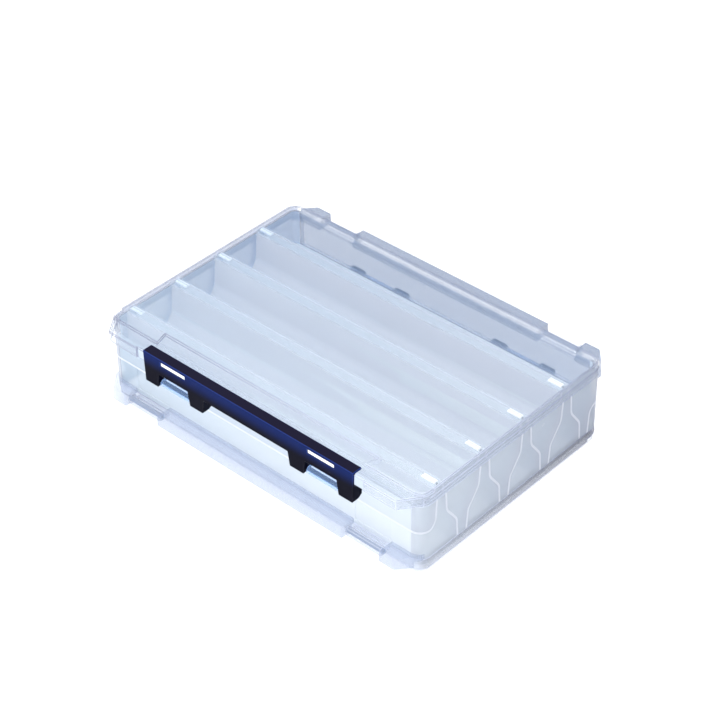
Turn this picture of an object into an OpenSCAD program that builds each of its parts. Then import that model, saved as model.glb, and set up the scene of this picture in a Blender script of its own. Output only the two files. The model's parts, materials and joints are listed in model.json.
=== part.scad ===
// Clear double-sided lure case.
// A one-piece body is folded into upright S-shaped lane walls, so that lanes open
// upwards and downwards in turn. Each face has its own hinged lid and its own latch.
// The case is the same after half a turn about its long axis: the lower lid, latch,
// hinge rail and lugs are the upper ones, turned over.
// X runs along the hinges, -Y is the front, +Z is up, and z = 0 is the resting face.

/* [Case] */
// Length over the lids
case_l = 255; // [220:1:300]
// Depth over the hinge rails
case_w = 190; // [170:1:230]
// Height over both lids
case_h = 60; // [56:1:76]
// Radius of the lids' corners in plan
corner_r = 8; // [7.5:0.5:10]

/* [Lids] */
// How far the hinge rails stand out past the lids
rail_reach = 11.5; // [11:0.5:13]
// Height of a lid from its rim to its flat top
lid_h = 10; // [9:0.5:12]
// Thickness of a lid's top
lid_t = 1.5; // [1.2:0.1:1.6]
// Thickness of a lid's rim
rim_t = 1.2; // [1:0.1:1.4]
// How far the band along the rim's edge stands out
band_step = 0.6; // [0.4:0.1:0.8]
// Height of that band
band_h = 4.5; // [4:0.5:5]
// Drop from the flat top to the latch lip
lip_drop = 1.9; // [1.7:0.1:2.1]
// How far the latch lip stands out past the lid
lip_reach = 9.8; // [9.2:0.1:10]
// Slope of the latch lip's ends in plan, in degrees
lip_end_slope = 53.5; // [50:0.5:58]
// Half length of the shallow seat for the latch in the lip's front
seat_half = 92; // [88:0.5:98]
// Depth of that seat
seat_depth = 1.1; // [0.6:0.1:1.4]
// Half length of the set-back in the flat top above the latch
notch_half = 87; // [86:0.5:92]
// Depth of that set-back
notch_depth = 9.9; // [9:0.1:10.2]
// How much each end of the set-back slants
notch_slant = 3; // [1:0.5:5]

/* [Body] */
// Thickness of the outer walls' edges, which reach up inside the lids' rims
wall_t = 1.5; // [1.2:0.1:1.8]
// Thickness of the lane walls and of the ridges
lane_t = 1.4; // [1.1:0.1:1.6]
// Gap between those edges and a lid's rim
rim_gap = 0.3; // [0.25:0.05:0.4]
// Gap between the outer walls' edge and the latch lip above it
wall_gap = 0.2; // [0.2:0.05:0.4]
// Gap between a ridge and the lid above it
ridge_gap = 1; // [0.9:0.1:1.3]

/* [Lanes] */
// Clear width of the narrow lane beside the front and rear wall
narrow_w = 8.9; // [8:0.1:11]
// Half width of a ridge, to the middle of its walls
ridge_half = 3.4; // [3:0.1:4]
// How far a lane wall leans out between its ridge and its bend
wall_lean = 1.6; // [1:0.1:2]
// Height of a lane wall's bend above and below its middle
bend_rise = 6.2; // [5:0.1:8]
// Radius of the bends in a lane wall
bend_r = 9; // [5:0.5:12]
// Radius under the narrow lane
narrow_r = 7; // [4:0.5:8]

/* [Ridge end pads] */
// Length of a pad on a ridge's end
pad_l = 10; // [7:0.5:12]
// Width of a pad
pad_w = 3.4; // [2.4:0.1:4]
// Height of a pad
pad_h = 0.7; // [0.5:0.1:0.8]
// Distance from the inside of the end wall to the pad
pad_inset = 0.5; // [0.5:0.5:5]
// Width of the groove along a pad
groove_w = 0.5; // [0.4:0.1:0.8]
// Radius of the dimple at a pad's outer end
dimple_r = 0.6; // [0.4:0.1:0.7]

/* [Hinges] */
// Radius of a hinge pin
pin_r = 1.5; // [1.3:0.1:1.7]
// Running gap around every hinge pin and latch pin
pin_gap = 0.05; // [0.03:0.01:0.09]
// Outer radius of a hinge hook
hook_r = 3.2; // [3:0.1:3.4]
// Height of the hinge axis above the lid's rim
axis_rise = 0.4; // [0.3:0.1:0.6]
// Distance from the hinge axis to the rail's outer face
axis_inset = 5; // [4.9:0.1:5]
// Half height of a hinge rail
rail_half_h = 4.2; // [3.8:0.1:4.2]
// Radius of a rail's long outer edges
rail_edge_r = 1.5; // [1.4:0.1:2]
// Gap between a rail's upstand and the lid beside it
rail_gap = 2; // [1.8:0.1:2.4]
// Gap between the outer walls' belt and the lid's rim above it
belt_gap = 0.3; // [0.2:0.05:0.5]
// How far inside the lid's end face an ear ends
ear_tuck = 1; // [0.5:0.1:2]
// Half length of the rail's long bar
bar_half = 76.2; // [60:0.2:80]
// Distance from the middle to the inner end of an ear
ear_start = 105.4; // [102:0.2:108]
// Distance from the middle to the outer corner of an ear
ear_end = 115.5; // [114:0.5:117]
// Height of the underside of a hook's arm above the hinge axis
hook_arm_rise = 0.5; // [0.3:0.1:1]
// Gap at each end of a hinge hook
hook_end_gap = 1.2; // [0.8:0.1:1.5]
// Depth of the shallow relief in the wall beside a hinge hook
relief_depth = 0.4; // [0.2:0.1:0.6]

/* [Latches] */
// Half length of a latch
latch_half = 85.3; // [84:0.1:86]
// Thickness of a latch's plate
latch_t = 1.6; // [1.2:0.1:1.8]
// Gap between a latch and the lip that it holds
latch_gap = 0.15; // [0.1:0.05:0.25]
// How far a latch lies below the flat top that it is level with
latch_low = 0.3; // [0.2:0.1:0.5]
// How far the latch's top flange reaches back over the lip
flange_reach = 7.3; // [6:0.1:8]
// Depth of the plate between its legs, from the flat top
plate_depth = 12.7; // [12:0.1:14]
// Depth of the legs, from the flat top
leg_depth = 22.8; // [21.5:0.1:24]
// Inner leg's side nearer to the middle, at the plate
leg_a = 34.2; // [30:0.2:38]
// Inner leg's side nearer to the lug, at the plate
leg_b = 48; // [44:0.2:50]
// Outer leg's side nearer to the lug, at the plate
leg_c = 72.4; // [70:0.2:75]
// How much a leg narrows on each side down to its foot
leg_taper = 1.5; // [0:0.1:2]
// How far a leg's foot reaches back
foot_reach = 5.5; // [4.6:0.1:6]
// How far a leg's tip reaches back, under the lip
leg_reach = 8.3; // [7.5:0.1:9]
// Height of a leg's tip above its foot
tip_rise = 2.2; // [1.5:0.1:3]
// Height of a leg's tip face
tip_h = 4.1; // [3:0.1:5]
// Gap between a leg and the lid's rim above it
leg_gap = 0.5; // [0.3:0.1:1]
// Radius of a latch pin
latch_pin_r = 1.4; // [1.2:0.1:1.5]
// Height of the latch pin above the legs' feet
latch_pin_rise = 2.7; // [2.5:0.1:3]
// Distance from the latch's front face to its pin
latch_pin_inset = 3.3; // [3.2:0.1:3.6]
// Outer radius of a body lug around the latch pin
lug_r = 3; // [2.8:0.1:3.1]
// Gap at each end of a body lug
lug_end_gap = 0.4; // [0.3:0.1:0.8]
// Half length of a slot in the latch
slot_half = 10.4; // [6:0.2:12]
// Height of a slot in the latch
slot_h = 3; // [1.5:0.1:3.2]
// Depth of a slot's upper edge, from the flat top
slot_depth = 2.4; // [2:0.1:3.5]

/* [Hidden] */

CLEAR = [0.80, 0.87, 0.95, 0.45];
CLEAR_LID = [0.86, 0.92, 0.98, 0.35];
NAVY = [0.10, 0.13, 0.38];

$fn = 48;
EPS = 1;              // how far a cutter runs past the face that it cuts
ARC_STEPS = 8;        // straight pieces in each bend of a lane wall
LANES = 4;            // full lanes on each face
MOUTH_SHARE = 1.6;    // width of a clip's mouth, in radii of its pin
mid_z = case_h / 2;

// Lids, in plan and height. Insets are measured inwards from the rim band's face.
lid_hx = case_l / 2;
lid_hy = case_w / 2 - rail_reach;
rim_z = case_h - lid_h;
band_top_z = rim_z + band_h;
top_under_z = case_h - lid_t;
lip_z = case_h - lip_drop;
lip_under_z = lip_z - lid_t;
lip_y = -(lid_hy + lip_reach);
cavity_inset = band_step + rim_t;
notch_y = -(lid_hy - notch_depth);
front_zone_y = notch_y + rim_t;

// Body
body_inset = cavity_inset + rim_gap;
body_hx = lid_hx - body_inset;
body_hy = lid_hy - body_inset;
inner_inset = body_inset + wall_t;
inner_hx = lid_hx - inner_inset;
inner_hy = lid_hy - inner_inset;
wall_top_z = lip_under_z - wall_gap;
wall_low_z = case_h - wall_top_z;
belt_top_z = rim_z - belt_gap;
belt_low_z = case_h - belt_top_z;
straight_hx = lid_hx - corner_r;
straight_hy = lid_hy - corner_r;

// Ridges and lane walls. Ridges alternate from the front: up, down, up, down.
ridge_top_z = top_under_z - ridge_gap;
ridge_under_z = ridge_top_z - lane_t;
ridge_half_out = ridge_half + lane_t / 2;
ridge_step = 2 * (inner_hy - narrow_w - ridge_half_out) / (2 * LANES - 1);
function ridge_y(k) = (k - LANES + 0.5) * ridge_step;          // k = 0 to 2 * LANES - 1
function wall_y(k) = (k - LANES) * ridge_step;                 // k = 0 to 2 * LANES

// Hinge axis of the upper lid
axis_y = case_w / 2 - axis_inset;
axis_z = rim_z + axis_rise;
rail_in_y = lid_hy + rail_gap;
rail_low_z = axis_z - rail_half_h;
rail_top_z = axis_z + rail_half_h;

// Pin axis of the upper latch
latch_y = lip_y + seat_depth - latch_gap - latch_t;
latch_top_z = case_h - latch_low;
latch_pin_y = latch_y + latch_pin_inset;
latch_foot_z = case_h - leg_depth;
latch_pin_z = latch_foot_z + latch_pin_rise;
plate_low_z = case_h - plate_depth;
lug_x = (leg_b + leg_c) / 2;

// Turns the upper parts over into the lower ones.
module turned_over() {
    translate([0, 0, case_h]) rotate([180, 0, 0]) children();
}

// Pulls a [y, z] outline out along X, from x0 to x1.
module along_x(x0, x1) {
    translate([x0, 0, 0]) rotate([90, 0, 90]) linear_extrude(x1 - x0) children();
}

// Pulls an [x, z] outline out along Y, from y0 to y1.
module along_y(y0, y1) {
    translate([0, y1, 0]) rotate([90, 0, 0]) linear_extrude(y1 - y0) children();
}

// Pulls a plan up from z0 to z1.
module upright(z0, z1) {
    translate([0, 0, z0]) linear_extrude(z1 - z0) children();
}

module both_ends() {
    children();
    mirror([1, 0, 0]) children();
}

// ---------------------------------------------------------------- plans

// The case's rounded rectangle, drawn in by inset.
module case_plan(inset) {
    square([2 * (lid_hx - inset), 2 * straight_hy], center = true);
    square([2 * straight_hx, 2 * (lid_hy - inset)], center = true);
    for (sx = [-1, 1], sy = [-1, 1])
        translate([sx * straight_hx, sy * straight_hy]) circle(corner_r - inset);
}

// Plan of the latch lip, with the seat for the latch in its front. Its sloping ends
// run tangent to the lid's corners.
module lip_plan(inset) {
    reach = -lip_y - straight_hy - inset;
    r = corner_r - inset;
    end_x = straight_hx + (r - reach * cos(lip_end_slope)) / sin(lip_end_slope);
    seat_x = seat_half + inset;
    seat_y = lip_y + seat_depth + inset;
    both_ends() polygon([
        [-EPS, seat_y], [seat_x, seat_y], [seat_x, lip_y + inset],
        [end_x, lip_y + inset],
        [straight_hx + r * sin(lip_end_slope), -straight_hy - r * cos(lip_end_slope)],
        [straight_hx, -straight_hy],
        [-EPS, -straight_hy]
    ]);
}

// Plan of the set-back above the latch, grown by the given amount.
module notch_plan(grow) {
    back_x = notch_half + grow;
    front_x = notch_half - notch_slant + grow;
    polygon([
        [-front_x, -lid_hy - EPS], [-front_x, -lid_hy], [-back_x, notch_y + grow],
        [back_x, notch_y + grow], [front_x, -lid_hy], [front_x, -lid_hy - EPS]
    ]);
}

// Plan of a lid's flat top.
module top_plan(inset, grow) {
    difference() {
        case_plan(inset);
        notch_plan(grow);
    }
}

// ---------------------------------------------------------------- bent walls

function unit(v) = v / norm(v);
function left_of(v) = [-v[1], v[0]];

// Points of the arc that rounds corner b of the path a, b, c with radius r,
// moved aside to the left by h.
function round_corner(a, b, c, r, h) =
    let (
        u = unit(b - a), v = unit(c - b),
        side = sign(u[0] * v[1] - u[1] * v[0]),
        turn = acos(u * v),
        centre = b - u * r * tan(turn / 2) + side * r * left_of(u),
        start = -side * left_of(u)
    )
    [for (i = [0:ARC_STEPS])
        let (t = side * turn * i / ARC_STEPS)
        centre + (r - side * h)
            * [start[0] * cos(t) - start[1] * sin(t), start[0] * sin(t) + start[1] * cos(t)]];

// One side of a path whose inner corners are rounded.
function path_side(path, r, h) =
    let (n = len(path) - 1)
    concat(
        [path[0] + h * left_of(unit(path[1] - path[0]))],
        [for (i = [1:n - 1]) each round_corner(path[i - 1], path[i], path[i + 1], r, h)],
        [path[n] + h * left_of(unit(path[n] - path[n - 1]))]
    );

function reversed(list) = [for (i = [len(list) - 1:-1:0]) list[i]];

// Section of a wall of thickness t along a path.
module bent_wall(path, r, t) {
    polygon(concat(path_side(path, r, t / 2), reversed(path_side(path, r, -t / 2))));
}

// Section of an S-shaped lane wall. Lean is 1 where the wall goes back as it goes down.
module s_wall_section(y, lean) {
    at_ridge = ridge_step / 2 - ridge_half;
    at_bend = at_ridge - wall_lean;
    slope = wall_lean / (ridge_under_z - mid_z - bend_rise);
    past = at_ridge + slope * EPS;
    intersection() {
        bent_wall([
            [y - lean * past, ridge_under_z + EPS],
            [y - lean * at_bend, mid_z + bend_rise],
            [y + lean * at_bend, mid_z - bend_rise],
            [y + lean * past, case_h - ridge_under_z - EPS]
        ], bend_r, lane_t);
        translate([y - ridge_step, case_h - ridge_under_z])
            square([2 * ridge_step, 2 * ridge_under_z - case_h]);
    }
}

// Section of the short wall under the narrow front lane.
module narrow_lane_section() {
    top_y = ridge_y(0) - ridge_half;
    intersection() {
        bent_wall([
            [top_y, ridge_under_z + EPS],
            [top_y - wall_lean, mid_z],
            [-inner_hy - EPS, mid_z]
        ], narrow_r, lane_t);
        translate([-inner_hy, 0]) square([inner_hy, ridge_under_z]);
    }
}

// ---------------------------------------------------------------- body

// Between the lids the outer walls are a thick belt, level with the lids' bands. Above
// and below it their thinner edges reach up inside the lids' rims.
module front_wall() {
    color(CLEAR) difference() {
        along_x(-straight_hx, straight_hx) {
            translate([-body_hy, wall_low_z]) square([wall_t, wall_top_z - wall_low_z]);
            translate([-lid_hy, belt_low_z]) square([inner_inset, belt_top_z - belt_low_z]);
        }
        both_ends() hinge_relief();
    }
}

// The shallow relief in the front wall above each hinge hook.
module hinge_relief() {
    low_z = case_h - rail_low_z;
    translate([bar_half + hook_end_gap, -lid_hy - EPS, low_z])
        cube([ear_start - bar_half - 2 * hook_end_gap, relief_depth + EPS, mid_z - low_z]);
}

module rear_wall() {
    turned_over() front_wall();
}

module right_end_wall() {
    color(CLEAR) {
        end_wall(wall_low_z, wall_top_z, body_inset);
        end_wall(belt_low_z, belt_top_z, 0);
    }
}

// An end wall and its two corners, with its face at the given inset.
module end_wall(z0, z1, inset) {
    upright(z0, z1) difference() {
        intersection() {
            case_plan(inset);
            translate([straight_hx, -lid_hy]) square([corner_r, 2 * lid_hy]);
        }
        case_plan(inner_inset);
    }
}

module left_end_wall() {
    mirror([1, 0, 0]) right_end_wall();
}

module s_lane_wall(k) {
    color(CLEAR) along_x(-inner_hx, inner_hx)
        s_wall_section(wall_y(k), k % 2 == 1 ? 1 : -1);
}

module front_narrow_lane_wall() {
    color(CLEAR) intersection() {
        along_x(-inner_hx, inner_hx) narrow_lane_section();
        upright(0, case_h) case_plan(inner_inset);
    }
}

// A ridge with its end pads. Its ends lap over the end walls.
module upper_ridge(k) {
    y = ridge_y(k);
    pad_end = inner_hx - pad_inset;
    color(CLEAR) translate([0, y, 0]) difference() {
        union() {
            translate([-inner_hx, -ridge_half_out, ridge_under_z])
                cube([2 * inner_hx, 2 * ridge_half_out, lane_t]);
            translate([-body_hx, -ridge_half_out, wall_top_z])
                cube([2 * body_hx, 2 * ridge_half_out, ridge_top_z - wall_top_z]);
            both_ends() translate([pad_end - pad_l, -pad_w / 2, ridge_top_z])
                cube([pad_l, pad_w, pad_h]);
        }
        both_ends() {
            translate([pad_end - pad_l - EPS, groove_w / 2, ridge_top_z])
                cube([pad_l + 2 * EPS, groove_w, pad_h + EPS]);
            translate([pad_end + dimple_r, 0, ridge_top_z - pad_h])
                cylinder(r = dimple_r, h = pad_h + EPS);
        }
    }
}

// Ears, long bar and pins of the rear hinge rail, for the upper lid.
module rear_hinge_rail() {
    color(CLEAR) {
        difference() {
            intersection() {
                along_x(-lid_hx, lid_hx) rail_section();
                upright(0, case_h) {
                    translate([-bar_half, 0]) square([2 * bar_half, case_w / 2]);
                    both_ends() ear_plan();
                }
            }
            upright(0, case_h) case_plan(0);
        }
        both_ends() translate([bar_half, axis_y, axis_z]) rotate([0, 90, 0])
            cylinder(r = pin_r, h = ear_start - bar_half);
    }
}

module ear_plan() {
    polygon([
        [ear_start, straight_hy], [ear_start, case_w / 2], [ear_end, case_w / 2],
        [lid_hx - ear_tuck, lid_hy - ear_tuck], [lid_hx - ear_tuck, straight_hy]
    ]);
}

// Section of a hinge rail: a web out of the belt and an upstand around the axis.
module rail_section() {
    r = rail_edge_r;
    out_y = case_w / 2;
    translate([straight_hy, rail_low_z])
        square([rail_in_y - straight_hy + r, belt_top_z - rail_low_z]);
    translate([rail_in_y, rail_low_z])
        square([out_y - r - rail_in_y, 2 * rail_half_h]);
    translate([out_y - 2 * r, rail_low_z + r]) square([2 * r, 2 * (rail_half_h - r)]);
    for (z = [rail_low_z + r, rail_top_z - r]) translate([out_y - r, z]) circle(r);
}

module front_hinge_rail() {
    turned_over() rear_hinge_rail();
}

// Clips that hold the front latch's pins.
module front_latch_lugs() {
    half = (leg_c - leg_b) / 2 - lug_end_gap;
    color(CLEAR) both_ends() along_x(lug_x - half, lug_x + half) clip_section();
}

module clip_section() {
    bore = latch_pin_r + pin_gap;
    mouth = MOUTH_SHARE * latch_pin_r;
    difference() {
        union() {
            translate([latch_pin_y, latch_pin_z]) circle(lug_r);
            polygon([
                [-lid_hy, latch_pin_z - lug_r], [latch_pin_y, latch_pin_z - lug_r],
                [latch_pin_y, latch_pin_z + lug_r], [-lid_hy, latch_pin_z + 2 * lug_r]
            ]);
        }
        translate([latch_pin_y, latch_pin_z]) {
            circle(bore);
            rotate(225) translate([0, -mouth / 2]) square([2 * lug_r, mouth]);
        }
    }
}

module rear_latch_lugs() {
    turned_over() front_latch_lugs();
}

// ---------------------------------------------------------------- lids

// The part of a plan that belongs to the latch lip and the step up from it.
module front_zone() {
    translate([-lid_hx, lip_y]) square([2 * lid_hx, front_zone_y - lip_y]);
}

// Flat top with its set-back, the latch lip one step lower, and the riser between.
module upper_lid_panel() {
    color(CLEAR_LID) {
        upright(top_under_z, case_h) top_plan(band_step, 0);
        upright(lip_under_z, lip_z) difference() {
            union() {
                lip_plan(0);
                intersection() {
                    case_plan(band_step);
                    front_zone();
                }
            }
            top_plan(cavity_inset, rim_t);
        }
        upright(lip_under_z, top_under_z) difference() {
            intersection() {
                top_plan(band_step, 0);
                front_zone();
            }
            top_plan(cavity_inset, rim_t);
        }
    }
}

// Rim of the lid, up to the lip in front and up to the flat top elsewhere.
module upper_lid_rim() {
    color(CLEAR_LID) {
        difference() {
            union() {
                upright(rim_z, band_top_z) case_plan(0);
                upright(rim_z, lip_under_z) {
                    case_plan(band_step);
                    lip_plan(0);
                }
            }
            upright(rim_z - EPS, lip_under_z + EPS) {
                case_plan(cavity_inset);
                lip_plan(rim_t);
            }
        }
        upright(lip_under_z, top_under_z) difference() {
            case_plan(band_step);
            case_plan(cavity_inset);
            front_zone();
        }
    }
}

// Hooks that turn on the rear hinge rail's pins.
module upper_lid_hooks() {
    color(CLEAR_LID) both_ends()
        along_x(bar_half + hook_end_gap, ear_start - hook_end_gap) hook_section();
}

module hook_section() {
    bore = pin_r + pin_gap;
    mouth = MOUTH_SHARE * pin_r;
    difference() {
        union() {
            translate([axis_y, axis_z]) circle(hook_r);
            translate([lid_hy, axis_z + hook_arm_rise])
                square([axis_y - lid_hy, hook_r - hook_arm_rise]);
        }
        translate([axis_y, axis_z]) {
            circle(bore);
            rotate(250) translate([0, -mouth / 2]) square([2 * hook_r, mouth]);
        }
    }
}

module lower_lid_panel() {
    turned_over() upper_lid_panel();
}

module lower_lid_rim() {
    turned_over() upper_lid_rim();
}

module lower_lid_hooks() {
    turned_over() upper_lid_hooks();
}

// ---------------------------------------------------------------- latches

// Front outline of the latch: a plate with two pairs of tapering legs.
module latch_outline() {
    foot = latch_foot_z;
    both_ends() polygon([
        [-EPS, latch_top_z], [latch_half, latch_top_z],
        [latch_half - leg_taper / 2, foot], [leg_c + leg_taper, foot],
        [leg_c, plate_low_z], [leg_b, plate_low_z],
        [leg_b - leg_taper, foot], [leg_a + leg_taper, foot],
        [leg_a, plate_low_z], [-EPS, plate_low_z]
    ]);
}

// Side outline of a leg, which reaches back around the pin under the lip.
module leg_section() {
    tip_y = latch_y + leg_reach;
    tip_z = latch_foot_z + tip_rise;
    top_z = rim_z - leg_gap;
    polygon([
        [latch_y, latch_foot_z], [latch_y + foot_reach, latch_foot_z],
        [tip_y, tip_z], [tip_y, tip_z + tip_h],
        [latch_y + latch_t, top_z], [latch_y, top_z]
    ]);
}

module upper_latch() {
    plate_back = latch_y + latch_t;
    slot_top = case_h - slot_depth;
    color(NAVY) {
        difference() {
            union() {
                along_y(latch_y, plate_back) latch_outline();
                translate([-latch_half, latch_y, lip_z + latch_gap])
                    cube([2 * latch_half, flange_reach, latch_top_z - lip_z - latch_gap]);
                intersection() {
                    along_x(-latch_half, latch_half) leg_section();
                    along_y(latch_y, latch_y + leg_reach) latch_outline();
                }
            }
            both_ends() translate([lug_x - slot_half, latch_y - EPS, slot_top - slot_h])
                cube([2 * slot_half, latch_t + 2 * EPS, slot_h]);
        }
        both_ends() translate([leg_b - leg_taper, latch_pin_y, latch_pin_z])
            rotate([0, 90, 0])
                cylinder(r = latch_pin_r, h = leg_c - leg_b + 2 * leg_taper);
    }
}

module lower_latch() {
    turned_over() upper_latch();
}

// ---------------------------------------------------------------- nodes

front_wall();
rear_wall();
left_end_wall();
right_end_wall();
front_narrow_lane_wall();  // lane_wall_1
for (k = [1:2 * LANES - 1])
    s_lane_wall(k);
turned_over() front_narrow_lane_wall();  // lane_wall_9
for (i = [0:LANES - 1]) {
    upper_ridge(2 * i);
    turned_over() upper_ridge(2 * i);
}
front_hinge_rail();
rear_hinge_rail();
front_latch_lugs();
rear_latch_lugs();
upper_lid_panel();
upper_lid_rim();
upper_lid_hooks();
lower_lid_panel();
lower_lid_rim();
lower_lid_hooks();
upper_latch();
lower_latch();
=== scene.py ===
"""Clear double-sided lure case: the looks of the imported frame, its camera, floor and light."""
import json
import math

import bmesh
import bpy
from mathutils import Matrix, Vector

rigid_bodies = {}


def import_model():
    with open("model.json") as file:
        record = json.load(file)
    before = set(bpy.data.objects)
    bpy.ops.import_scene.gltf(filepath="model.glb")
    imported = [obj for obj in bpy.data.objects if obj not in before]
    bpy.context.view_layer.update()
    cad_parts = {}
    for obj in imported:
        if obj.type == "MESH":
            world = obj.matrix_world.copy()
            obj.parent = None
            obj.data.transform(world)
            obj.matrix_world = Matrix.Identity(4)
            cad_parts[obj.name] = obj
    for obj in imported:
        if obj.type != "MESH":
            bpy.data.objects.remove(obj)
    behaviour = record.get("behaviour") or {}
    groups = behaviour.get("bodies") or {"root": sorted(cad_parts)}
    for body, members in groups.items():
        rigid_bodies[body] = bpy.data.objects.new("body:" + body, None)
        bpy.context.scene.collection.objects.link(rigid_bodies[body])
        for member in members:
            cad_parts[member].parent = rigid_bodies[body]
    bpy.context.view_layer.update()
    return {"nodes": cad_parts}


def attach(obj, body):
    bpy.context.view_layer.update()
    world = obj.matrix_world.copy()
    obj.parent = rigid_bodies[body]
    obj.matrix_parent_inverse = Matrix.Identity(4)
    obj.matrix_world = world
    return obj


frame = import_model()
nodes = frame["nodes"]
MM = 0.001
X, Y = 0, 1
FACES = ("upper", "lower")
LANE_WALLS, RIDGES = range(1, 10), range(1, 5)

# Camera, from the photograph's perspective. Degrees, metres, and pixels of a 720-pixel frame.
AZIMUTH, ELEVATION, ROLL = 42.29, 37.95, -0.45
DISTANCE, ASIDE, UP = 1.3273, 0.0041, 0.0326
FOCAL_PX, FRAME_PX = 2130.5, 720
SENSOR_MM = 36

# Light. Tones are the surround's, and the bright side is the direction most light comes from.
BRIGHT_SIDE = (-0.45, -0.8, 0.5)
BRIGHT_TONE, DIM_TONE = (1, 1, 1), (0.55, 0.57, 0.60)
TONE_SPAN = 0.8        # cosine of the angle off the bright side where a tone is reached
SURROUND = 1.5
FLOOR_SIZE, FLOOR_GLOW = 6, 0.25
KEY_AT, KEY_AIM, KEY_SIZE, KEY_POWER = (-0.5, -1.1, 1.3), (0, 0, 0), 1.2, 7
CLEAR_LAYERS = 64      # see-through faces that a ray may pass

# Moulded plastic, the same in every tone of it.
PLASTIC_IOR = 1.49
HAZE_DETAIL, GLOSS_SPREAD = 3.0, 0.2
RIPPLE_SCALE, RIPPLE_DETAIL = 160.0, 1.0
RIPPLE_BUMP, RIPPLE_HEIGHT = 0.04, 0.0004

# Where the painted shade changes on the case, in metres.
FRONT_TONE_Y, REAR_TONE_Y = -0.085, 0.085
RIGHT_TONE_X, LEFT_TONE_X = 0.11, -0.12
HAZE_DRIFT = 0.08      # how far the haze moves a gradient
CORNER_FROM, CORNER_TO, CORNER_SHARE = 0.095, 0.122, 0.1
END_FROM, END_TO = 0.1235, 0.1262
END_FRONT_Y, END_REAR_Y, END_FRONT_SHARE = -0.1, 0.08, 0.3
LATCH_BLUE_RISE, LATCH_DARK_RISE = 0.028, 0.018     # from mid height

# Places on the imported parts, in millimetres.
CASE_H = 60
INNER_X, INNER_Y = 123.9, 79.9     # insides of the outer walls
CORNER_X, CORNER_Y = 119.5, 75.5   # middles of the corners, where two outer walls meet
INNER_R = 4.4          # inside of the corners
REAR_EDGE_Y = 81.4     # outside of the rear wall past its belt
REAR_RIM_Y = 81.6      # past this is the rear of the upper lid's rim
BELT_LOW, BELT_TOP = 10.3, 49.7
BELT_T, EDGE_T = 3.6, 1.5          # thickness of the outer walls in the belt and past it
LANE_LOW, LANE_TOP = 3.9, 56.1
LINE_DEEP, LINE_PROUD = 0.4, 0.02  # how far a highlight line at a joint reaches in and stands out
LINE_JOIN = 0.006      # points of the highlight lines' skin nearer than this are one
RIDGE_TOP = 57.5
DIMPLE_WIDE = 1.5      # a face narrower than this may be a dimple's
DIMPLE_FROM, DIMPLE_TO = 122.5, 125.2      # along X
SEAT_Y = 92.2          # face of the lip behind the latch
HINGE_Y, HINGE_RISE = 90, 20.4     # hinge axes, from the middle of the case
PIN_R, HINGE_BORE = 1.5, 1.65
LATCH_PIN_Y, LATCH_PIN_RISE, LATCH_BORE = 90.65, 9.9, 1.55
BAR_END, EAR_START = 76.2, 105.4   # the hinge pins' ends
CATCH_X, CATCH_Z = 60.2, 56.1      # middle of a latch's slot
CATCH_L, CATCH_H, CATCH_OUT, CATCH_ROUND = 20.2, 2.5, 1.3, 0.3
FAR_X = 122            # past this, on the left, is the far rim
TOUCH = 0.03           # how near a face has to be to count as lying on a surface

# Rounding of edges, in millimetres. Points nearer than MERGE are one, faces nearer in angle than
# FLAT_DEGREES are one, and edges sharper than SHARP_DEGREES are rounded.
WALL_ROUND, LANE_ROUND, RIDGE_ROUND = 0.2, 0.1, 0.15
LID_ROUND, RAIL_ROUND, LATCH_ROUND = 0.35, 0.2, 0.35
MERGE = 0.002
FLAT_DEGREES, SHARP_DEGREES = 0.5, 35

# A normal's part along an axis, of 1: over LEANS it leans that way, over LEVEL it points that way.
LEANS, LEVEL = 0.5, 0.9


# ---------------------------------------------------------------- camera


def make_camera():
    az, el, roll = (math.radians(v) for v in (AZIMUTH, ELEVATION, ROLL))
    back = Vector((math.sin(az) * math.cos(el), -math.cos(az) * math.cos(el), math.sin(el)))
    right = Vector((math.cos(az), math.sin(az), 0))
    up = back.cross(right)
    x_axis = math.cos(roll) * right + math.sin(roll) * up
    y_axis = math.cos(roll) * up - math.sin(roll) * right
    turn = Matrix((x_axis, y_axis, back)).transposed()
    data = bpy.data.cameras.new("camera")
    data.sensor_width = SENSOR_MM
    data.lens = FOCAL_PX / FRAME_PX * SENSOR_MM
    camera = bpy.data.objects.new("camera", data)
    camera.matrix_world = Matrix.Translation(
        x_axis * ASIDE + y_axis * UP + back * DISTANCE
    ) @ turn.to_4x4()
    bpy.context.scene.collection.objects.link(camera)
    bpy.context.scene.camera = camera


# ---------------------------------------------------------------- materials


class Graph:
    """Short ways to add nodes to one material."""

    def __init__(self, name):
        self.material = bpy.data.materials.new(name)
        self.material.use_nodes = True
        self.nodes = self.material.node_tree.nodes
        self.links = self.material.node_tree.links
        self.shader = self.nodes["Principled BSDF"]
        self.place = self.add("ShaderNodeTexCoord").outputs["Object"]

    def add(self, kind, **values):
        node = self.nodes.new(kind)
        for key, value in values.items():
            if hasattr(node, key):
                setattr(node, key, value)
            else:
                node.inputs[key.replace("_", " ")].default_value = value
        return node

    def link(self, source, target):
        self.links.new(source, target)

    def set(self, **values):
        for key, value in values.items():
            self.shader.inputs[key.replace("_", " ")].default_value = value

    def axis(self, letter):
        split = self.add("ShaderNodeSeparateXYZ")
        self.link(self.place, split.inputs["Vector"])
        return split.outputs[letter]

    def ramp(self, value, start, end, low=0, high=1, smooth=False):
        """From low to high as the value goes from start to end, and level past them."""
        node = self.add("ShaderNodeMapRange", From_Min=start, From_Max=end, To_Min=low,
                        To_Max=high)
        if smooth:
            node.interpolation_type = "SMOOTHSTEP"
        self.link(value, node.inputs["Value"])
        return node.outputs["Result"]

    def combine(self, operation, first, second, clamp=True):
        node = self.add("ShaderNodeMath", operation=operation, use_clamp=clamp)
        self.link(first, node.inputs[0])
        self.link(second, node.inputs[1])
        return node.outputs["Value"]


def rgb(colour):
    return (*colour, 1)


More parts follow.
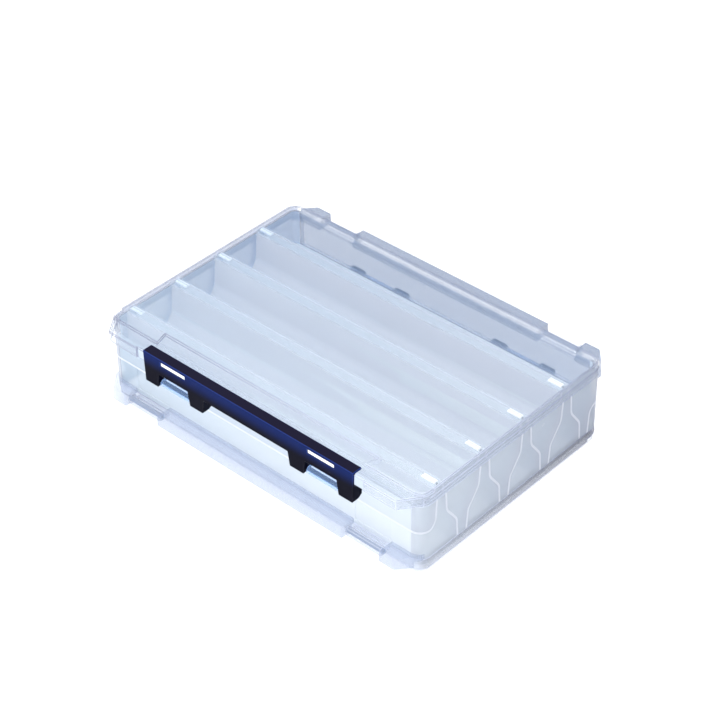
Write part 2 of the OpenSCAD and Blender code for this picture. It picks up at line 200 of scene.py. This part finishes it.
def moulded(name, pale, deep, alpha, roughness=0.25, haze=18, gradient=None, specular=0.4,
            streak=1.0):
    """Moulded plastic: a cloudy haze between two near tones and faintly wavy gloss."""
    g = Graph(name)
    g.set(Alpha=alpha, IOR=PLASTIC_IOR, Specular_IOR_Level=specular)
    drawn = g.add("ShaderNodeMapping", Scale=(1, 1, streak))
    g.link(g.place, drawn.inputs["Vector"])
    noise = g.add("ShaderNodeTexNoise", Scale=haze, Detail=HAZE_DETAIL)
    g.link(drawn.outputs["Vector"], noise.inputs["Vector"])
    cloud = noise.outputs["Fac"]
    tone = g.add("ShaderNodeMix", data_type="RGBA")
    tone.inputs["A"].default_value = rgb(pale)
    tone.inputs["B"].default_value = rgb(deep)
    g.link(gradient(g, cloud) if gradient else cloud, tone.inputs["Factor"])
    g.link(tone.outputs["Result"], g.shader.inputs["Base Color"])
    gloss = g.ramp(cloud, 0, 1, roughness * (1 - GLOSS_SPREAD), roughness * (1 + GLOSS_SPREAD))
    g.link(gloss, g.shader.inputs["Roughness"])
    ripple = g.add("ShaderNodeTexNoise", Scale=RIPPLE_SCALE, Detail=RIPPLE_DETAIL)
    g.link(g.place, ripple.inputs["Vector"])
    bump = g.add("ShaderNodeBump", Strength=RIPPLE_BUMP, Distance=RIPPLE_HEIGHT)
    g.link(ripple.outputs["Fac"], bump.inputs["Height"])
    g.link(bump.outputs["Normal"], g.shader.inputs["Normal"])
    return g.material


def across_case(g, cloud, x_share=0.5, y_share=0.55):
    """Deeper tone towards the case's left and rear, where least light comes in."""
    along_y = g.ramp(g.axis("Y"), FRONT_TONE_Y, REAR_TONE_Y, high=y_share)
    along_x = g.ramp(g.axis("X"), RIGHT_TONE_X, LEFT_TONE_X, high=x_share)
    both = g.combine("ADD", along_y, along_x, clamp=False)
    drift = g.add("ShaderNodeMath", operation="MULTIPLY_ADD", use_clamp=True)
    g.link(cloud, drift.inputs[0])
    drift.inputs[1].default_value = HAZE_DRIFT
    g.link(both, drift.inputs[2])
    return drift.outputs["Value"]


# Painted shade by place, as in across_case, with other shares along X and Y.
def along_lanes(g, cloud):
    return across_case(g, cloud, x_share=0.5, y_share=0.15)


def to_rear(g, cloud):
    return across_case(g, cloud, x_share=0, y_share=0.92)


def to_left(g, cloud):
    return across_case(g, cloud, x_share=0.92, y_share=0)


def to_far(g, cloud):
    return across_case(g, cloud, x_share=0.75, y_share=0.75)


def to_ends(g, cloud):
    """Painted shade: deeper tone towards the left, and again at the right-hand corner."""
    corner = g.ramp(g.axis("X"), CORNER_FROM, CORNER_TO, high=CORNER_SHARE, smooth=True)
    return g.combine("ADD", to_left(g, cloud), corner)


def low_end(g, cloud):
    """Painted shade: deeper tone at the case's right end, most of all at its rear corner."""
    end = g.ramp(g.axis("X"), END_FROM, END_TO)
    rear = g.ramp(g.axis("Y"), END_FRONT_Y, END_REAR_Y, low=END_FRONT_SHARE)
    return g.combine("MULTIPLY", end, rear)


def by_height(g, cloud):
    """Painted shade: pale near the case's top and bottom faces, deep towards its middle."""
    middle = g.add("ShaderNodeMath", operation="SUBTRACT")
    g.link(g.axis("Z"), middle.inputs[0])
    middle.inputs[1].default_value = CASE_H / 2 * MM
    rise = g.add("ShaderNodeMath", operation="ABSOLUTE")
    g.link(middle.outputs["Value"], rise.inputs[0])
    return g.ramp(rise.outputs["Value"], LATCH_BLUE_RISE, LATCH_DARK_RISE, smooth=True)


# Where a gradient is given, it deepens a tone by place as painted shade.
MATERIALS = {
    "front": moulded("clear_front_wall", (0.62, 0.68, 0.75), (0.38, 0.47, 0.56), 0.60,
                     gradient=to_ends, specular=0.15),
    # Painted shade: the end walls are a darker copy of the front wall's plastic.
    "end": moulded("clear_end_wall", (0.44, 0.48, 0.55), (0.28, 0.31, 0.37), 0.62,
                   gradient=to_rear, specular=0.15),
    # Painted shade: the rear wall is a deeper blue copy of the walls, and its inside deeper still.
    "rear": moulded("clear_rear_wall", (0.32, 0.40, 0.52), (0.24, 0.31, 0.43), 0.40,
                    gradient=to_left, specular=0.1),
    "rear_inside": moulded("clear_rear_inside", (0.10, 0.18, 0.33), (0.03, 0.10, 0.24), 0.55,
                           gradient=to_left, specular=0.1),
    "inside": moulded("clear_wall_inside", (0.86, 0.94, 0.98), (0.32, 0.44, 0.64), 0.7,
                      gradient=across_case, specular=0.2),
    "lane": moulded("lane_wall", (0.94, 1.0, 0.99), (0.45, 0.61, 0.73), 0.52,
                    gradient=along_lanes, haze=70, streak=0.1),
    "ridge": moulded("ridge", (0.70, 0.78, 0.86), (0.42, 0.53, 0.66), 0.15,
                     gradient=across_case, specular=0.2),
    # Painted highlight: the ridges' rounded edges, paler and more opaque than the ridges.
    "crest": moulded("ridge_crest", (0.90, 0.95, 0.98), (0.56, 0.66, 0.80), 0.3,
                     gradient=across_case, specular=0.2),
    "lid": moulded("clear_lid", (0.56, 0.63, 0.74), (0.50, 0.59, 0.70), 0.08, roughness=0.15),
    "rim": moulded("clear_rim", (0.46, 0.51, 0.60), (0.36, 0.41, 0.50), 0.28,
                   gradient=across_case, specular=0.15),
    # Painted shade: a darker copy of the rim, for the rim at the far left.
    "far_rim": moulded("clear_far_rim", (0.36, 0.42, 0.58), (0.31, 0.36, 0.53), 0.45,
                       specular=0.1),
    "thin": moulded("clear_thin_rim", (0.60, 0.66, 0.76), (0.50, 0.57, 0.68), 0.12,
                    specular=0.15),
    # Painted shade: the lower lid's rim darkens to near-black at the case's right end.
    "low_rim": moulded("clear_low_rim", (0.57, 0.62, 0.71), (0.10, 0.10, 0.13), 0.45,
                       gradient=low_end, specular=0.2),
    # A near-opaque face of the lip behind a latch, in the lid's tones.
    "seat": moulded("near_opaque_lip_seat", (0.52, 0.59, 0.69), (0.48, 0.56, 0.66), 0.85,
                    specular=0.1),
    # Painted light: near-white, near-opaque catches for the light seen through the latches' slots.
    "catch": moulded("catch_painted_light", (0.95, 0.97, 0.99), (0.90, 0.94, 0.98), 0.95),
    "rail": moulded("clear_rail", (0.38, 0.44, 0.57), (0.22, 0.25, 0.34), 0.36,
                    gradient=to_rear, specular=0.1),
    # Painted shade: a darker copy of the rail, for the rear hinge rail.
    "far_rail": moulded("clear_far_rail", (0.17, 0.23, 0.36), (0.15, 0.21, 0.33), 0.56,
                        specular=0.1),
    # Painted shadow: dark hinge pins, for the shade in the hooks round them.
    "pin": moulded("hinge_pin", (0.22, 0.30, 0.44), (0.16, 0.20, 0.32), 0.8, specular=0.1),
    "lug": moulded("clear_lug", (0.32, 0.50, 0.85), (0.28, 0.45, 0.78), 0.25, specular=0.1),
    "bore": moulded("clear_bore", (0.60, 0.68, 0.80), (0.50, 0.58, 0.70), 0.03, specular=0.1),
    # Painted highlight and shade: rounded edges pale at the front and right, dark at the far left
    # and rear.
    "edge": moulded("edge_painted_highlight_and_shade", (0.62, 0.66, 0.80), (0.11, 0.12, 0.21), 0.60,
                    gradient=to_far, specular=0.1),
    # Painted highlight: pale lines where the lane walls meet the outer walls.
    "weld": moulded("joint_line_painted_highlight", (0.72, 0.75, 0.82), (0.60, 0.62, 0.70), 0.6,
                    gradient=to_rear, specular=0.1),
    # Painted highlight: near-white pads, with painted shade towards the left.
    "pad": moulded("pad_painted_highlight", (0.95, 0.96, 0.98), (0.62, 0.72, 0.82), 1, gradient=to_left),
    # Painted shadow: near-black in the dimples at the pads' ends.
    "dimple": moulded("pad_dimple", (0.03, 0.04, 0.06), (0.02, 0.03, 0.05), 1),
    # The latches' own navy, with painted shade that deepens it to near-black towards the case's
    # mid height.
    "blue": moulded("latch_blue", (0.004, 0.013, 0.085), (0.002, 0.002, 0.008), 1,
                    roughness=0.45, gradient=by_height, specular=0.03),
    # Painted shade: a near-black copy of the navy, for the latches' faces that point up or down.
    "black": moulded("latch_top", (0.006, 0.005, 0.024), (0.005, 0.004, 0.018), 1,
                     roughness=0.45, specular=0.06),
    # Painted highlight: the latches' rounded edges in a brighter blue, with the same painted shade
    # by height.
    "blue_edge": moulded("latch_edge", (0.010, 0.028, 0.16), (0.002, 0.002, 0.008), 1,
                         roughness=0.4, gradient=by_height, specular=0.1),
}


# ---------------------------------------------------------------- faces


def corners_of(obj, face):
    return [obj.data.vertices[i].co / MM for i in face.vertices]


def flipped(points, turned):
    """The points in the upper parts' frame, for a part that is one of them turned over."""
    return [Vector((p.x, -p.y, CASE_H - p.z)) for p in points] if turned else points


def lie_at(points, axis, distance):
    """Whether all points are this far from the case's middle, to either side."""
    return all(abs(abs(p[axis]) - distance) < TOUCH for p in points)


def on_outer_wall(points):
    """Whether a face lies on the inside of the case's outer walls."""
    if lie_at(points, X, INNER_X) or lie_at(points, Y, INNER_Y):
        return True
    return all(
        abs(math.hypot(abs(p.x) - CORNER_X, abs(p.y) - CORNER_Y) - INNER_R) < 2 * TOUCH
        and abs(p.x) > CORNER_X - TOUCH and abs(p.y) > CORNER_Y - TOUCH
        for p in points
    )


def near_axis(points, y, rise, reach):
    """Whether a face is within reach of an axis along X at y, rise from mid height."""
    return all(math.hypot(abs(p.y) - y, abs(p.z - CASE_H / 2) - rise) < reach for p in points)


def dress(obj, pick):
    """Gives every face the material that pick names for its corners and normal."""
    picked = [pick(corners_of(obj, face), face.normal) for face in obj.data.polygons]
    kinds = sorted(set(picked))
    obj.data.materials.clear()
    for kind in kinds:
        obj.data.materials.append(MATERIALS[kind])
    for face, kind in zip(obj.data.polygons, picked):
        face.material_index = kinds.index(kind)
        face.use_smooth = True


def round_edges(obj, width, edge_kind):
    """Rounds the sharp edges. Known fault: the unclamped bevel overlaps itself in places."""
    weld = obj.modifiers.new("weld", "WELD")
    weld.merge_threshold = MERGE * MM
    flat = obj.modifiers.new("flat", "DECIMATE")
    flat.decimate_type = "DISSOLVE"
    flat.angle_limit = math.radians(FLAT_DEGREES)
    flat.delimit = {"MATERIAL"}
    bevel = obj.modifiers.new("bevel", "BEVEL")
    bevel.width = width * MM
    bevel.segments = 2
    bevel.use_clamp_overlap = False
    bevel.limit_method = "ANGLE"
    bevel.angle_limit = math.radians(SHARP_DEGREES)
    # The rounded faces get edge_kind's material, which on several pieces is a painted highlight.
    obj.data.materials.append(MATERIALS[edge_kind])
    bevel.material = len(obj.data.materials) - 1
    smooth = obj.modifiers.new("shade", "WEIGHTED_NORMAL")
    smooth.keep_sharp = False


def add_piece(name, shape, kinds, body):
    """A new piece from a bmesh in metres, on a body of the frame."""
    mesh = bpy.data.meshes.new(name)
    shape.to_mesh(mesh)
    shape.free()
    for kind in kinds:
        mesh.materials.append(MATERIALS[kind])
    obj = bpy.data.objects.new(name, mesh)
    bpy.context.scene.collection.objects.link(obj)
    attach(obj, body)


# ---------------------------------------------------------------- case


def dress_outer_walls():
    walls = {"front_wall": "front", "rear_wall": "rear",
             "left_end_wall": "end", "right_end_wall": "end"}
    # Painted shade: the rear wall's inside takes a much darker blue copy.
    insides = {"front": "rim", "rear": "rear_inside", "end": "inside"}

    def pick(points, kind):
        if on_outer_wall(points):
            return insides[kind]
        if lie_at(points, X, CORNER_X):
            return "bore"
        if kind == "rear" and lie_at(points, Y, REAR_EDGE_Y):
            return "thin"
        return kind

    for name, kind in walls.items():
        dress(nodes[name], lambda points, normal: pick(points, kind))
        round_edges(nodes[name], WALL_ROUND, "edge" if kind == "end" else kind)


def dress_lane_walls():
    for i in LANE_WALLS:
        obj = nodes[f"lane_wall_{i}"]
        dress(obj, lambda points, normal: "lane")
        round_edges(obj, LANE_ROUND, "lane")


def outwards(p):
    """Direction out of the nearest outer wall, in plan, for a point on its inside."""
    over = Vector((max(abs(p.x) - CORNER_X, 0), max(abs(p.y) - CORNER_Y, 0), 0)).normalized()
    return Vector((math.copysign(over.x, p.x), math.copysign(over.y, p.y), 0))


def contact_skin(low, top):
    """The lane walls' faces on the insides of the outer walls, between two heights.

    Known fault: on_outer_wall also takes the faces that run from end wall to end wall, so the
    piece holds unwanted faces along the lane walls, and the lanes' tone was set with them there.
    """
    skin = bmesh.new()
    for i in LANE_WALLS:
        obj = nodes[f"lane_wall_{i}"]
        for face in obj.data.polygons:
            points = corners_of(obj, face)
            if on_outer_wall(points):
                skin.faces.new([skin.verts.new(p) for p in points])
    bmesh.ops.remove_doubles(skin, verts=skin.verts, dist=LINE_JOIN)
    for z, cut in ((low, {"clear_inner": True}), (top, {"clear_outer": True})):
        geometry = skin.verts[:] + skin.edges[:] + skin.faces[:]
        bmesh.ops.bisect_plane(skin, geom=geometry, plane_co=(0, 0, z), plane_no=(0, 0, 1),
                               **cut)
    skin.normal_update()
    return skin


def push_out(skin, wall):
    """Makes a skin on a wall's inside a closed strip in the wall's outer face."""
    grown = bmesh.ops.extrude_face_region(skin, geom=skin.faces[:])["geom"]
    raised = {v for v in grown if isinstance(v, bmesh.types.BMVert)}
    for v in skin.verts:
        out = wall + (LINE_PROUD if v in raised else -LINE_DEEP)
        v.co += outwards(v.co) * out
    bmesh.ops.recalc_face_normals(skin, faces=skin.faces)
    for v in skin.verts:
        v.co *= MM


def add_joint_highlights():
    """Painted highlights: pale lines on the outer walls' faces where the lane walls run into them.
    """
    lines = bmesh.new()
    for low, top, wall in ((LANE_LOW, BELT_LOW, EDGE_T), (BELT_LOW, BELT_TOP, BELT_T),
                           (BELT_TOP, LANE_TOP, EDGE_T)):
        strip = contact_skin(low, top)
        push_out(strip, wall)
        mesh = bpy.data.meshes.new("strip")
        strip.to_mesh(mesh)
        strip.free()
        lines.from_mesh(mesh)
    for face in lines.faces:
        on_rear = all(v.co.y > INNER_Y * MM for v in face.verts)
        face.material_index = int(on_rear)
    add_piece("joint_highlight_lines", lines, ["weld", "thin"], "case")


def dress_ridges():
    # Pads get a painted highlight in near-white, and dimples a painted shadow in near-black.
    def pick(points, turned):
        points = flipped(points, turned)
        if max(p.z for p in points) > RIDGE_TOP + TOUCH:
            return "pad"
        narrow = max(p.x for p in points) - min(p.x for p in points) < DIMPLE_WIDE
        sunk = min(p.z for p in points) < RIDGE_TOP - TOUCH
        if narrow and sunk and DIMPLE_FROM < abs(points[0].x) < DIMPLE_TO:
            return "dimple"
        return "ridge"

    for turned, face in enumerate(FACES):
        for i in RIDGES:
            obj = nodes[f"{face}_ridge_{i}"]
            dress(obj, lambda points, normal: pick(points, turned))
            round_edges(obj, RIDGE_ROUND, "crest")


def on_hinge_pin(points):
    return near_axis(points, HINGE_Y, HINGE_RISE, PIN_R + TOUCH) \
        and all(BAR_END - TOUCH < abs(p.x) < EAR_START + TOUCH for p in points)


def dress_rails():
    # Painted shadow on the pins, and painted shade on the rear rail: its faces that point neither
    # to the front nor down take the darker far_rail.
    def pick(points, normal, kind):
        if on_hinge_pin(points):
            return "pin"
        return "rail" if min(normal.y, normal.z) < -LEANS else kind

    for name, kind in (("front_hinge_rail", "rail"), ("rear_hinge_rail", "far_rail")):
        dress(nodes[name], lambda points, normal: pick(points, normal, kind))
        round_edges(nodes[name], RAIL_ROUND, kind)


def dress_lugs():
    def pick(points, normal):
        bored = near_axis(points, LATCH_PIN_Y, LATCH_PIN_RISE, LATCH_BORE)
        return "bore" if bored else "lug"

    for name in ("front_latch_lugs", "rear_latch_lugs"):
        dress(nodes[name], pick)
        round_edges(nodes[name], RAIL_ROUND, "lug")


# ---------------------------------------------------------------- lids and latches


def dress_lids():
    # Painted shade: rim faces at the far left take a darker copy, and the lower lid's rim darkens
    # towards the case's right end.
    def pick(points, kind, face):
        if near_axis(points, HINGE_Y, HINGE_RISE, HINGE_BORE):
            return "bore"
        if lie_at(points, Y, SEAT_Y):
            return "seat"
        if kind == "rim" and face == "upper" and all(p.y > REAR_RIM_Y for p in points):
            return "thin"
        if kind == "rim" and all(p.x < -FAR_X for p in points):
            return "far_rim"
        return kind

    for face in FACES:
        rim = "low_rim" if face == "lower" else "rim"
        for part, kind in (("panel", "lid"), ("rim", rim), ("hooks", "rim")):
            obj = nodes[f"{face}_lid_{part}"]
            dress(obj, lambda points, normal: pick(points, kind, face))
            round_edges(obj, LID_ROUND, "edge")


def add_catches():
    """Low catches on the lips, one in each slot of a latch, near-white as painted light seen
    through the slots.

    Known fault: the lower ones are bevelled on normals from before they were turned over, so
    they come out inside out and about 0.3 mm too large on each side.
    """
    for turned, face in enumerate(FACES):
        for side, x in (("left", -CATCH_X), ("right", CATCH_X)):
            block = bmesh.new()
            bmesh.ops.create_cube(block, size=1)
            for v in block.verts:
                v.co = Vector((x + v.co.x * CATCH_L,
                               -SEAT_Y - CATCH_OUT / 2 + v.co.y * CATCH_OUT,
                               CATCH_Z + v.co.z * CATCH_H))
                v.co = flipped([v.co], turned)[0] * MM
            bmesh.ops.bevel(block, geom=block.edges[:], offset=CATCH_ROUND * MM, segments=3,
                            affect="EDGES", profile=0.5)
            bmesh.ops.recalc_face_normals(block, faces=block.faces)
            add_piece(f"{face}_catch_{side}", block, ["catch"], f"{face}_lid")


def dress_latches():
    for face in FACES:
        obj = nodes[f"{face}_latch"]
        # Painted shade: faces that point up or down take a near-black copy of the navy, and
        # rounded edges a brighter blue as painted highlight.
        dress(obj, lambda points, normal: "black" if abs(normal.z) > LEVEL else "blue")
        round_edges(obj, LATCH_ROUND, "blue_edge")


def let_light_through():
    """Clear plastic on a white table in all-round light takes next to no light away."""
    for face in FACES:
        nodes[f"{face}_latch"].visible_diffuse = False
    for obj in bpy.context.scene.objects:
        if obj.type == "MESH":
            obj.visible_shadow = False


# ---------------------------------------------------------------- floor and light


def make_floor():
    bpy.ops.mesh.primitive_plane_add(size=FLOOR_SIZE, location=(0, 0, 0))
    floor = bpy.context.object
    floor.name = "floor"
    white = moulded("floor_white", (0.95, 0.95, 0.95), (0.93, 0.93, 0.93), 1,
                    roughness=0.9, specular=0.0)
    glow = white.node_tree.nodes["Principled BSDF"].inputs
    glow["Emission Color"].default_value = rgb((1, 1, 1))
    glow["Emission Strength"].default_value = FLOOR_GLOW
    floor.data.materials.append(white)


def make_surround():
    """Soft white surround, brightest from the front, the left and above."""
    world = bpy.data.worlds.new("studio")
    bpy.context.scene.world = world
    world.use_nodes = True
    tree = world.node_tree
    place = tree.nodes.new("ShaderNodeTexCoord")
    along = tree.nodes.new("ShaderNodeVectorMath")
    along.operation = "DOT_PRODUCT"
    along.inputs[1].default_value = Vector(BRIGHT_SIDE).normalized()
    tree.links.new(place.outputs["Generated"], along.inputs[0])
    share = tree.nodes.new("ShaderNodeMapRange")
    share.inputs["From Min"].default_value = -TONE_SPAN
    share.inputs["From Max"].default_value = TONE_SPAN
    tree.links.new(along.outputs["Value"], share.inputs["Value"])
    tone = tree.nodes.new("ShaderNodeMix")
    tone.data_type = "RGBA"
    tone.inputs["A"].default_value = rgb(DIM_TONE)
    tone.inputs["B"].default_value = rgb(BRIGHT_TONE)
    tree.links.new(share.outputs["Result"], tone.inputs["Factor"])
    background = tree.nodes["Background"]
    tree.links.new(tone.outputs["Result"], background.inputs["Color"])
    background.inputs["Strength"].default_value = SURROUND


def make_key_light():
    data = bpy.data.lights.new("key", "AREA")
    data.shape = "DISK"
    data.size = KEY_SIZE
    data.energy = KEY_POWER
    lamp = bpy.data.objects.new("key", data)
    lamp.location = KEY_AT
    aim = Vector(KEY_AIM) - Vector(KEY_AT)
    lamp.rotation_euler = aim.to_track_quat("-Z", "Y").to_euler()
    bpy.context.scene.collection.objects.link(lamp)


make_camera()
dress_outer_walls()
dress_lane_walls()
add_joint_highlights()
dress_ridges()
dress_lids()
add_catches()
dress_rails()
dress_lugs()
dress_latches()
let_light_through()
make_floor()
make_surround()
make_key_light()

scene = bpy.context.scene
scene.view_settings.view_transform = "Standard"
scene.cycles.transparent_max_bounces = CLEAR_LAYERS
